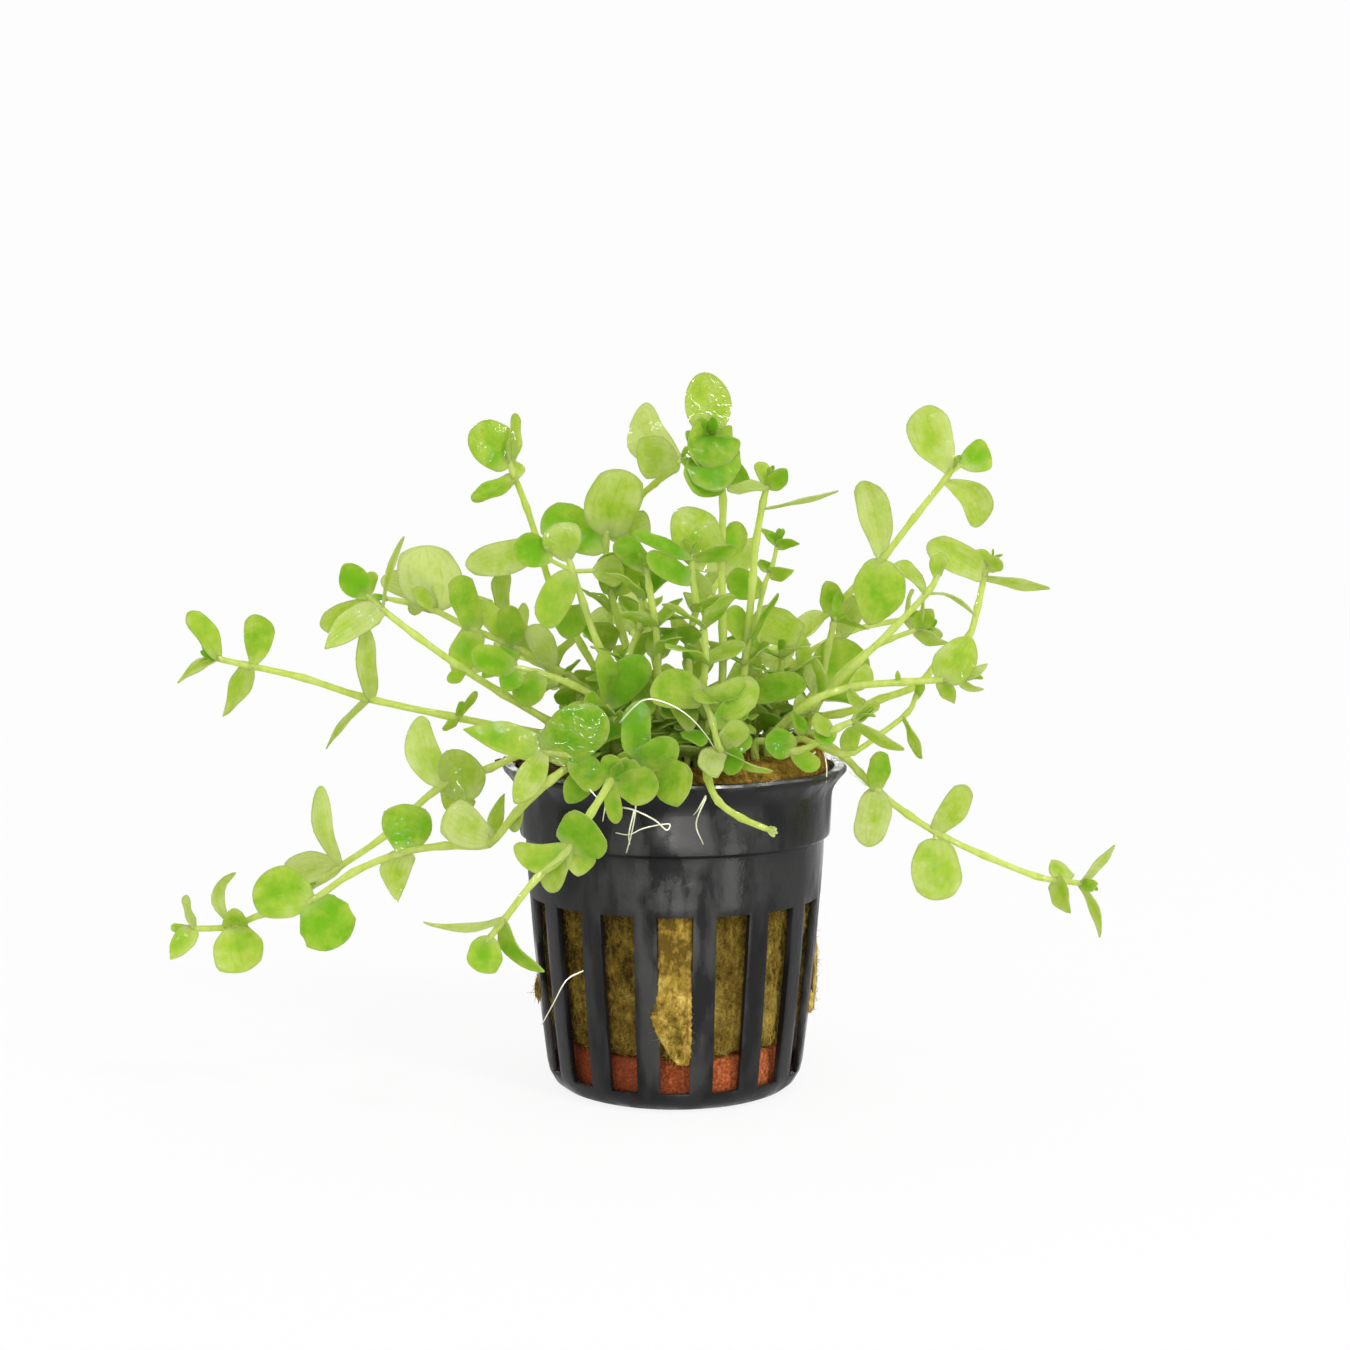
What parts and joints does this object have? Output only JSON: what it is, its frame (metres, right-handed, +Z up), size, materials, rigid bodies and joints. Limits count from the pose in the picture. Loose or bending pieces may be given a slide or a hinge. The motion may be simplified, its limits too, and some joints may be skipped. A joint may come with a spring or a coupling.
{
  "type": "potted bacopa",
  "caption": "Bunch of bacopa stems with small paired round leaves, planted in rock wool in a slotted black net pot.",
  "frame": {"origin": "centre of the pot's flat base, where it stands", "axes": "+Z up along the pot's axis, +X to the right and -Y towards the viewer, as the plant is seen from its front"},
  "size_m": [0.1398, 0.091, 0.108],
  "materials": {
    "pot": "satin",
    "clay": "matte",
    "rock_wool": "matte",
    "plant": "satin"
  },
  "bodies": {
    "root": {"net_pot": "pot", "clay_ring": "clay", "rock_wool": "rock_wool", "shoot_far_left": "plant", "shoot_left": "plant", "shoot_left_pale": "plant", "shoot_low_left_short": "plant", "shoot_low_left_long": "plant", "shoot_front_left": "plant", "shoot_front_arch": "plant", "shoot_left_bend": "plant", "shoot_upper_left": "plant", "shoot_upper_left_leafy": "plant", "shoot_upper_middle": "plant", "shoot_top_left": "plant", "shoot_top": "plant", "shoot_top_right": "plant", "shoot_thin": "plant", "shoot_right_high": "plant", "shoot_right_round": "plant", "shoot_right_long": "plant", "shoot_right_branch": "plant", "shoot_right_fork": "plant", "shoot_right_flat": "plant", "shoot_right_rim": "plant", "shoot_right_middle": "plant", "shoot_low_right": "plant", "stem_stub": "plant", "shoot_front_middle": "plant", "shoot_front_low": "plant", "shoot_middle_front": "plant", "shoot_middle_tall": "plant", "shoot_middle_low": "plant", "shoot_middle_left": "plant", "shoot_middle_back": "plant", "shoot_middle_right": "plant", "shoot_back_1": "plant", "shoot_back_2": "plant", "shoot_back_3": "plant", "shoot_back_4": "plant", "shoot_back_5": "plant", "shoot_back_6": "plant"}
  },
  "joints": []
}
